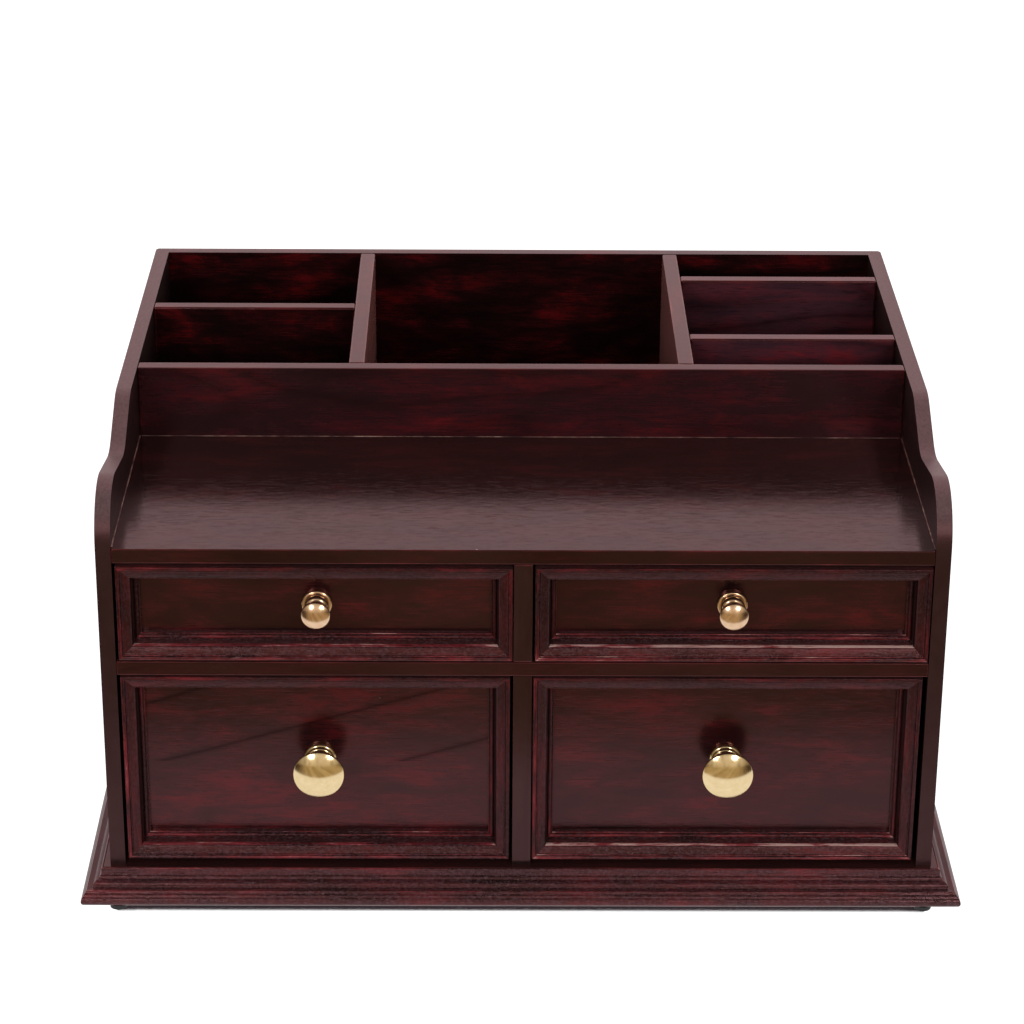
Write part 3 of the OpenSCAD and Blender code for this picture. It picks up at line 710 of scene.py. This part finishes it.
inside = dict(broken=0.001, colours=GLOWING_STAIN, contrast=1.0, red=-0.02, bloom=0.15)
board("left_partition", "Y", 13, **inside)
board("right_partition", "Y", 14, **inside)
board("left_cross_divider", "X", 15, **inside)
HAZY_STAIN = ("#372129", "#40242b", "#52242b", "#701f26")
hazy = dict(broken=0.001, colours=HAZY_STAIN, contrast=0.85, bloom=0.15)
board("right_cross_divider_front", "X", 16, **hazy)
board("right_cross_divider_back", "X", 17, **hazy)

# ---------------------------------------------------------------------------
# Glue lines: hide glue and filler squeezed out along the shelf and never quite
# cleaned off, a dull tan bead well under a millimetre high.


def dried_glue():
    """Old hide glue under lacquer: tan, cloudy and matt."""
    material, tree, shader, place = new_material("dried hide glue")
    clouds = add(
        tree, "ShaderNodeTexNoise", {"Vector": place, "Scale": 1000 / 6, "Detail": 4}
    ).outputs["Fac"]
    colour = add(
        tree, "ShaderNodeValToRGB", {"Fac": clouds},
        stops=[(0.36, "#341b19"), (0.55, "#6b4c44"), (0.72, "#97796c")],
    ).outputs["Color"]
    tree.links.new(colour, shader.inputs["Base Color"])
    shader.inputs["Roughness"].default_value = 0.5
    return material


def glue_line(name, start, end, into, thickness, seed, material):
    """A thin, uneven fillet of glue in a corner, from start to end, in mm."""
    start, end, into, up = (Vector(v) for v in (start, end, into, (0, 0, 1)))
    row_gap = 1.5
    count = round((end - start).length / row_gap)
    mesh = bmesh.new()
    rows = []
    for k in range(count + 1):
        at = start.lerp(end, k / count)
        swell = 0.5 + 0.5 * noise.noise(Vector((k * row_gap / 9, seed, 0)))
        ragged = 0.5 + 0.5 * noise.noise(Vector((k * row_gap / 2.2, seed, 4)))
        size = thickness * (0.25 + 0.85 * swell + 0.35 * ragged)
        corner = [at, at + into * size, at + (into + up) * 0.42 * size, at + up * size]
        rows.append([mesh.verts.new(point / 1000) for point in corner])
    for row, following in zip(rows, rows[1:]):
        for i in range(4):
            j = (i + 1) % 4
            mesh.faces.new((row[i], row[j], following[j], following[i]))
    mesh.faces.new(rows[0])
    mesh.faces.new(list(reversed(rows[-1])))
    bead = made_piece(name, mesh, material)
    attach(bead, "carcass")


glue = dried_glue()
shelf_low, shelf_high = (corner * 1000 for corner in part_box("shelf_board"))
wall_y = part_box("raised_wall")[0].y * 1000
for side, shelf_x, into, thickness, seed in (
    ("left", shelf_low.x, (1, 0, 0), 0.5, 1.5),
    ("right", shelf_high.x, (-1, 0, 0), 0.4, 2.5),
):
    glue_line(
        side + "_glue_line", (shelf_x, shelf_low.y + 2, shelf_high.z),
        (shelf_x, wall_y, shelf_high.z), into, thickness, seed, glue,
    )
glue_line(
    "wall_glue_line", (shelf_low.x + 1, wall_y, shelf_high.z),
    (shelf_high.x - 1, wall_y, shelf_high.z), (0, -1, 0), 0.27, 3.5, glue,
)

# ---------------------------------------------------------------------------
# Drawers: a stained front with a mitred moulding glued round its field, and a
# plain box of thin boards behind, only washed with stain.

# in from the edge of the front, and back from its front plane, in mm: a band, a
# fine bead, a long slope that turns over into a deep groove, a low swell and a
# fine lip over the field
DRAWER_OUTLINE = softened(
    [(0, 11.9), (0, 0.4), (0.4, 0), (1.8, 0), (1.9, 0.8)]
    + bow(2.25, 0.8, 0.3, 180, 360, 8)
    + bow(0.6, 13.9, 13.0, -82, -68, 12)
    + bow(4.65, 3.85, 2.2, -68, -4, 12)
    + [(6.85, 8.3), (7.3, 8.3)]
    + bow(8.1, 9.5, 1.6, -120, -60, 5)
    + [(8.9, 9.3), (9.2, 9.3), (9.2, 8.9), (9.7, 8.9), (9.7, 11.9)]
)
DEEP_GROOVE = (6.2, 7.4)


def worn_edge_and_highlight(a, d, edge):
    """The edge value with what hands have rubbed away of it, and a painted highlight along the turn
    of the slope.
    """
    outer_band = 0.3 < a < 1.8 and d < 0.2
    swell_by_field = 7.5 < a < 9.5 and d < 9
    if outer_band or swell_by_field:
        return 0.45
    # painted highlight: a pale line along the turn of the slope, where the lamps catch the round
    painted_highlight_at_turn = 6.2 < a < 6.9 and d < 4
    return 0.8 if painted_highlight_at_turn else min(edge, 0.75)


DRAWER_SECTION = [(a, d, worn_edge_and_highlight(a, d, edge)) for a, d, edge in DRAWER_OUTLINE]
# near black: the painted shade in the deep groove of the stiles
GROOVE_SHADE_STAIN = ("#0b0505", "#100607", "#180708", "#220a0a")
BOX_WOOD = ("#4a2418", "#6a3723", "#83492f", "#96583a")
BOTTOM_WOOD = ("#6d4a30", "#84603f", "#96714c", "#a68057")
FIELD_STAIN = ("#0e0808", "#190a0b", "#2d0d10", "#4b1015")
FIELDS = {
    "upper_left": dict(red=-0.02, rings=0.3),
    "upper_right": dict(red=0.02, rings=0.3),
    "lower_left": dict(red=0.02, rings=0.7, tip=(-58, 65)),
    "lower_right": dict(red=0.01, rings=0.5),
}


def band_wear(band):
    """Wear that goes as far as band on the outer band, and little behind it."""
    return lambda a: band if a < 2.0 else 0.3


for number, (drawer, figure) in enumerate(FIELDS.items()):
    seed = 20 + 7 * number
    board(
        drawer + "_front", "X", seed, broken=0.0003, dust=0.03, contrast=0.85,
        colours=FIELD_STAIN, **figure
    )
    low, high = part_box(drawer + "_rails")
    width, height = (high.x - low.x) * 1000, (high.z - low.z) * 1000
    # hands wear the bottom rail most, on the right more than on the left; this also sets how bright
    # its painted highlight along the turn is
    bottom_wear_and_highlight = 1.0 if "left" in drawer else 1.35
    frame_sides = (
        ("rails", "X", width, (
            (lambda s, a, d: (low.x + s / 1000, low.y + d / 1000, low.z + a / 1000),
             lambda a: bottom_wear_and_highlight),
            (lambda s, a, d: (low.x + s / 1000, low.y + d / 1000, high.z - a / 1000),
             band_wear(0.5)))),
        ("stiles", "Z", height, (
            (lambda s, a, d: (low.x + a / 1000, low.y + d / 1000, low.z + s / 1000),
             band_wear(1.0)),
            (lambda s, a, d: (high.x - a / 1000, low.y + d / 1000, low.z + s / 1000),
             band_wear(0.5)))),
    )
    for step, (kind, along, length, pair) in enumerate(frame_sides):
        label = drawer + " " + kind
        # the top rail and the stiles get fewer flecks of painted sparkle and a duller film than the
        # bottom rail, which faces the lamps
        wood_less_sparkled = moulding_wood(
            "moulded mahogany, little worn, " + label, along, seed + 2 + step, flecks=0.12,
            lacquer=0.35,
        )
        if kind == "rails":
            rail_wood_sparkled = moulding_wood("moulded mahogany " + label, along, seed + 1)
            woods, groove = (rail_wood_sparkled, wood_less_sparkled), None
        else:
            # painted shade: the deep groove of the stiles is near black and dull
            painted_groove_shade = stained_wood(
                "painted groove shade " + label, along, seed, GROOVE_SHADE_STAIN, rough=0.5, lacquer=0.15,
                bloom=0.05,
            )
            woods, groove = (wood_less_sparkled, painted_groove_shade), DEEP_GROOVE
        mesh = bmesh.new()
        edge_layer = mesh.verts.layers.float.new("edge")
        for which, (place, rubbed) in enumerate(pair):
            run_moulding(
                mesh, edge_layer, DRAWER_SECTION, lambda a: (a, length - a), place,
                seed + 2 * step + which, rubbed, which if kind == "rails" else 0, groove,
            )
        strips = made_piece(drawer + "_moulded_" + kind, mesh, *woods)
        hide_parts(drawer + "_" + kind)
        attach(strips, drawer + "_drawer")
    for piece, along, step in (("_box_left", "Y", 3), ("_box_right", "Y", 4), ("_box_back", "X", 5)):
        wood = stained_wood(
            "washed hardwood " + drawer + piece, along, seed + step, BOX_WOOD, rings=0.4,
            rough=0.45,
        )
        sand(nodes[drawer + piece], 0.0004, wood, wood)
    wood = stained_wood("plywood " + drawer, "X", seed + 6, BOTTOM_WOOD, pores=0.3, rough=0.55)
    sand(nodes[drawer + "_bottom"], 0.0002, wood, wood)
    sand(nodes[drawer + "_knob_screw"], 0.00012, zinc, zinc)

# ---------------------------------------------------------------------------
# Small knobs: turned from brass bar, polished and lacquered, each held by a
# screw from inside the drawer. A small round head on a flanged foot with a bold
# bead.


def polished_brass(name, colours, polish):
    """Turned and buffed brass: a mirror with faint smears and a film of dust."""
    material, tree, shader, place = new_material(name)
    shader.inputs["Metallic"].default_value = 1.0
    smears = add(
        tree, "ShaderNodeTexNoise",
        {"Vector": place, "Scale": 1000 / 3, "Detail": 4, "Roughness": 0.6},
    ).outputs["Fac"]
    tint = add(
        tree, "ShaderNodeValToRGB", {"Fac": smears}, stops=[(0.25, colours[0]), (0.8, colours[1])]
    ).outputs["Color"]
    # painted shade: the creases are darkened to a dark brown by an occlusion ramp
    painted_crease_shade = add(tree, "ShaderNodeAmbientOcclusion", {"Distance": 0.003}, samples=8).outputs["AO"]
    open_face = add(
        tree, "ShaderNodeMapRange", {"Value": painted_crease_shade, "From Min": 0.3, "From Max": 0.85}
    ).outputs["Result"]
    shown = add(
        tree, "ShaderNodeMix", {"Factor": open_face, "A": ink("#4a2c1c"), "B": tint},
        data_type="RGBA",
    ).outputs["Result"]
    tree.links.new(shown, shader.inputs["Base Color"])
    rough = add(
        tree, "ShaderNodeMath", {0: smears, 1: 0.14, 2: polish}, operation="MULTIPLY_ADD"
    ).outputs[0]
    tree.links.new(rough, shader.inputs["Roughness"])
    return material


def knob_outline(
    foot_d, foot_edge, bead_d, bead_t, ring, neck_d, head_d, head_out, dome_r, back_h
):
    """Outline of a turned knob in mm, from the axis out and up from the field.

    A foot with a rounded edge, a bead, a fine ring if it has one, a neck, and a
    head with a rounded back, a tight rim and a shallow dome.
    """
    foot_corner, rim_r, bead_z, ring_gap = 0.3, 0.8, 3.4, 0.5
    foot_top = foot_edge + 1.0
    bead_x = bead_d / 2 - bead_t / 2
    ring_x, ring_z = bead_x - 0.4, bead_z + bead_t / 2 + ring_gap
    bead_start = -math.degrees(math.asin((bead_z - foot_top - 0.05) / (bead_t / 2)))
    neck_turn = math.acos(neck_d / head_d)
    rim_tilt = math.asin((head_d / 2 - rim_r) / (dome_r - rim_r))
    dome_z = head_out - (dome_r - rim_r) * math.cos(rim_tilt)
    rim_end = 90 - math.degrees(rim_tilt)
    back = [
        (head_d / 2 * math.cos(neck_turn * k / 14), head_out - back_h * math.sin(neck_turn * k / 14))
        for k in range(14, 0, -1)
    ]
    return (
        [(0, 0), (foot_d / 2 - foot_corner, 0)]
        + bow(foot_d / 2 - foot_corner, foot_corner, foot_corner, -60, 0, 3)
        + bow(foot_d / 2 - foot_edge, 1.0, foot_edge, 6, 90, 10)
        + bow(bead_x, bead_z, bead_t / 2, bead_start, 90 if ring else 70, 16)
        + (bow(ring_x, ring_z, ring, -40, 80, 8) if ring else [])
        + [(neck_d / 2, ring_z + (ring or 0.3))]
        + back
        + bow(head_d / 2 - rim_r, head_out, rim_r, 0, rim_end, 10)
        + bow(0, dome_z, dome_r, rim_end + 1.5, 90, 26)
    )


def turned_knob(name, outline, node_name, brass, turns=128):
    """Turns an outline of (radius, height over the field) in mm about a knob's axis."""
    low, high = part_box(node_name)
    axis_x, axis_z, field_y = (low.x + high.x) / 2, (low.z + high.z) / 2, high.y
    mesh = bmesh.new()
    rings = []
    for radius, height in outline:
        round_count = 1 if radius < 1e-6 else turns
        rings.append([
            mesh.verts.new((
                axis_x + radius / 1000 * math.cos(2 * math.pi * i / turns),
                field_y - height / 1000,
                axis_z + radius / 1000 * math.sin(2 * math.pi * i / turns),
            ))
            for i in range(round_count)
        ])
    for inner, outer in zip(rings, rings[1:]):
        for i in range(turns):
            j = (i + 1) % turns
            if len(inner) == 1:
                mesh.faces.new((inner[0], outer[j], outer[i]))
            elif len(outer) == 1:
                mesh.faces.new((inner[i], inner[j], outer[0]))
            else:
                mesh.faces.new((inner[i], inner[j], outer[j], outer[i]))
    return made_piece(name, mesh, brass)


rosy_brass = polished_brass("rosy polished brass", ("#dcb492", "#eccbab"), 0.13)
SMALL_KNOB = knob_outline(
    foot_d=14.1, foot_edge=1.0, bead_d=11.0, bead_t=4.2, ring=0, neck_d=6.6, head_d=13.2,
    head_out=12.7, dome_r=12.0, back_h=5.5,
)
for drawer in ("upper_left", "upper_right"):
    knob = turned_knob(drawer + "_turned_knob", SMALL_KNOB, drawer + "_knob", rosy_brass)
    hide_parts(drawer + "_knob")
    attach(knob, drawer + "_drawer")

# ---------------------------------------------------------------------------
# Large knobs: of yellower brass, turned, polished and held as the small ones
# are. A broad domed head on a foot with a thin bead and a fine ring.

yellow_brass = polished_brass("yellow polished brass", ("#e3c898", "#f0d8ac"), 0.08)
LARGE_KNOB = knob_outline(
    foot_d=15.2, foot_edge=1.4, bead_d=13.6, bead_t=2.2, ring=0.7, neck_d=9.0, head_d=23.4,
    head_out=16.9, dome_r=23.5, back_h=4.6,
)
for drawer in ("lower_left", "lower_right"):
    knob = turned_knob(drawer + "_turned_knob", LARGE_KNOB, drawer + "_knob", yellow_brass)
    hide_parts(drawer + "_knob")
    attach(knob, drawer + "_drawer")

# ---------------------------------------------------------------------------
# Studio: a white table top that ends 13 cm in front of the piece, a white
# backdrop behind, a dim warm room in front and two soft boxes beside the
# camera. The table keeps the object's own shadow, and a painted contact shadow
# is added under the base.

TABLE_FRONT = -0.285
TABLE_SIZE = 6.0


def white_table_top():
    """A smooth white laminate, which keeps the shadow of the piece, with a painted contact shadow
    along the base.

    The camera sees it plain white, and the brass and the lacquer mirror it as far
    as its front edge, with the room's floor beyond.
    """
    material = bpy.data.materials.new("white table top")
    material.use_nodes = True
    tree = material.node_tree
    tree.nodes.clear()
    ray = add(tree, "ShaderNodeLightPath")
    place = add(tree, "ShaderNodeTexCoord").outputs["Object"]
    on_table = add(tree, "ShaderNodeSeparateXYZ", {"Vector": place})
    # from the front edge, which is rounded over 22 mm, to the flat top
    flat_from, rounded_over = TABLE_FRONT + 0.01, 0.0217
    table_edge = add(
        tree, "ShaderNodeMapRange",
        {"Value": on_table.outputs["Y"], "From Min": flat_from - rounded_over,
         "From Max": flat_from},
    ).outputs["Result"]
    # in front of it the room's floor is light in the middle and dark at the sides, and
    # streaked by what stands on it
    spread = add(
        tree, "ShaderNodeMath", {0: on_table.outputs["X"], 1: on_table.outputs["Y"]},
        operation="DIVIDE",
    ).outputs[0]
    aside = add(tree, "ShaderNodeMath", {0: spread}, operation="ABSOLUTE").outputs[0]
    room_floor = add(
        tree, "ShaderNodeValToRGB", {"Fac": aside}, stops=[(0.5, "#c8b690"), (0.95, "#4e3d2b")]
    ).outputs["Color"]
    legs = add(
        tree, "ShaderNodeTexNoise", {"W": spread, "Scale": 11.0, "Detail": 2}, noise_dimensions="1D"
    ).outputs["Fac"]
    leg_tone = add(
        tree, "ShaderNodeValToRGB", {"Fac": legs}, stops=[(0.40, "#bdb095"), (0.58, "#ffffff")]
    ).outputs["Color"]
    streaked_floor = add(
        tree, "ShaderNodeMix", {"Factor": 1.0, "A": room_floor, "B": leg_tone},
        data_type="RGBA", blend_type="MULTIPLY",
    ).outputs["Result"]
    mirror_tone = add(
        tree, "ShaderNodeMix", {"Factor": table_edge, "A": streaked_floor, "B": ink("#ffffff")},
        data_type="RGBA",
    ).outputs["Result"]
    matt_tone = add(
        tree, "ShaderNodeValToRGB", {"Fac": table_edge}, stops=[(0.0, "#8a7b6b"), (1.0, "#f2f2f2")]
    ).outputs["Color"]
    matt = add(tree, "ShaderNodeBsdfDiffuse", {"Color": matt_tone}).outputs["BSDF"]
    # painted contact shadow: the white the camera sees is darkened by an occlusion ramp next to the
    # piece
    gap = add(tree, "ShaderNodeAmbientOcclusion", {"Distance": 0.006}, samples=12).outputs["AO"]
    # the painted shadow stops short of the corners, where the rolled lower edge lets the light in
    to_side = add(
        tree, "ShaderNodeMath", {0: on_table.outputs["X"]}, operation="ABSOLUTE"
    ).outputs[0]
    corner = add(
        tree, "ShaderNodeMapRange",
        {"Value": to_side, "From Min": cad_highest.x - 0.017, "From Max": cad_highest.x - 0.013},
    ).outputs["Result"]
    painted_shadow_lifted = add(tree, "ShaderNodeMath", {0: gap, 1: corner}, operation="ADD").outputs[0]
    painted_shadow_tone = add(
        tree, "ShaderNodeValToRGB", {"Fac": painted_shadow_lifted},
        stops=[(0.22, "#251c20"), (0.44, "#3d3238"), (0.52, "#ffffff")],
    ).outputs["Color"]
    seen_white = add(tree, "ShaderNodeEmission", {"Color": painted_shadow_tone, "Strength": 1.25}).outputs[0]
    cast_and_painted_shadow = add(
        tree, "ShaderNodeMixShader", {"Fac": 0.97, 1: matt, 2: seen_white}
    ).outputs["Shader"]
    mirrored = add(tree, "ShaderNodeEmission", {"Color": mirror_tone}).outputs["Emission"]
    for_camera = add(
        tree, "ShaderNodeMixShader", {"Fac": ray.outputs["Is Camera Ray"], 1: matt, 2: cast_and_painted_shadow}
    ).outputs["Shader"]
    for_all = add(
        tree, "ShaderNodeMixShader",
        {"Fac": ray.outputs["Is Glossy Ray"], 1: for_camera, 2: mirrored},
    ).outputs["Shader"]
    add(tree, "ShaderNodeOutputMaterial", {"Surface": for_all})
    return material


corners = ((-1, -1), (1, -1), (1, 1), (-1, 1))
table_data = bpy.data.meshes.new("table_top")
table_data.from_pydata(
    [(x * TABLE_SIZE, y * TABLE_SIZE, 0) for x, y in corners], [], [(0, 1, 2, 3)]
)
table = bpy.data.objects.new("table_top", table_data)
bpy.context.scene.collection.objects.link(table)
table_data.materials.append(white_table_top())


def backdrop_and_room():
    """White to the camera and behind the piece, a warm room in front of it."""
    surround = bpy.data.worlds.new("white backdrop and room")
    surround.use_nodes = True
    tree = surround.node_tree
    tree.nodes.clear()
    ray = add(tree, "ShaderNodeLightPath")
    direction = add(tree, "ShaderNodeTexCoord").outputs["Generated"]
    axes = add(tree, "ShaderNodeSeparateXYZ", {"Vector": direction})
    # in front, from eye level up: a warm wall, lightest where the soft boxes stand, and
    # a dark ceiling
    height = add(
        tree, "ShaderNodeMapRange",
        {"Value": axes.outputs["Z"], "From Min": -1.0, "From Max": 1.0},
    ).outputs["Result"]
    room = add(
        tree, "ShaderNodeValToRGB", {"Fac": height},
        stops=[(0.48, "#cdbc9c"), (0.55, "#dacdb6"), (0.70, "#e2d8cb"), (0.80, "#a39a90"),
               (0.90, "#574e46"), (1.0, "#332c27")],
    ).outputs["Color"]
    # what stands in it breaks the wall into upright streaks
    narrow = add(
        tree, "ShaderNodeMapping", {"Vector": direction, "Scale": (9, 3, 1.6)}
    ).outputs["Vector"]
    furniture = add(
        tree, "ShaderNodeTexNoise", {"Vector": narrow, "Scale": 1.0, "Detail": 2}
    ).outputs["Fac"]
    streak = add(
        tree, "ShaderNodeValToRGB", {"Fac": furniture}, stops=[(0.38, 0.25), (0.52, 1.0)]
    ).outputs["Color"]
    furnished = add(
        tree, "ShaderNodeMix", {"Factor": 0.6, "A": room, "B": streak},
        data_type="RGBA", blend_type="MULTIPLY",
    ).outputs["Result"]
    sideways = add(tree, "ShaderNodeMath", {0: axes.outputs["X"]}, operation="ABSOLUTE").outputs[0]
    beside = add(
        tree, "ShaderNodeMapRange",
        {"Value": sideways, "From Min": 0.5, "From Max": 0.8, "To Max": 0.75},
    ).outputs["Result"]
    shaded = add(
        tree, "ShaderNodeMix", {"Factor": beside, "A": furnished, "B": ink("#4a3c30")},
        data_type="RGBA",
    ).outputs["Result"]
    toward_back = add(
        tree, "ShaderNodeMapRange",
        {"Value": axes.outputs["Y"], "From Min": 0.05, "From Max": 0.35},
    ).outputs["Result"]
    backdrop = add(
        tree, "ShaderNodeMix", {"Factor": toward_back, "A": shaded, "B": ink("#ffe0e2")},
        data_type="RGBA",
    ).outputs["Result"]
    level = add(
        tree, "ShaderNodeMix",
        {"Factor": ray.outputs["Is Glossy Ray"], "A": ink("#e2dfdf"), "B": backdrop},
        data_type="RGBA",
    ).outputs["Result"]
    seen = add(
        tree, "ShaderNodeMix",
        {"Factor": ray.outputs["Is Camera Ray"], "A": level, "B": ink("#ffffff")},
        data_type="RGBA",
    ).outputs["Result"]
    light = add(tree, "ShaderNodeBackground", {"Color": seen}).outputs["Background"]
    add(tree, "ShaderNodeOutputWorld", {"Surface": light})
    return surround


bpy.context.scene.world = backdrop_and_room()

lit_spot = Vector((0, 0, 0.1))
for side in (-1, 1):
    lamp_data = bpy.data.lights.new("soft box", "AREA")
    lamp_data.shape = "ELLIPSE"
    lamp_data.size, lamp_data.size_y = 0.30, 0.34
    lamp_data.energy = 5.0
    lamp = bpy.data.objects.new("soft box", lamp_data)
    lamp.location = (side * 0.64, -1.60, 0.71)
    lamp.rotation_euler = (lit_spot - lamp.location).to_track_quat("-Z", "Y").to_euler()
    bpy.context.scene.collection.objects.link(lamp)

# the camera stands nearly square to the front, and looks down on it
camera_data = bpy.data.cameras.new("camera")
camera_data.sensor_width = 36
camera_data.lens = 112.96
camera_data.clip_start, camera_data.clip_end = 0.05, 50
camera = bpy.data.objects.new("camera", camera_data)
pan, looking_down, roll = -0.521, 23.864, 0.387
camera.matrix_world = (
    Matrix.Translation((-0.0171, -1.4406, 0.769))
    @ Matrix.Rotation(math.radians(pan), 4, "Z")
    @ Matrix.Rotation(math.radians(90 - looking_down), 4, "X")
    @ Matrix.Rotation(math.radians(roll), 4, "Z")
)
bpy.context.scene.collection.objects.link(camera)
bpy.context.scene.camera = camera
bpy.context.scene.view_settings.view_transform = "Standard"
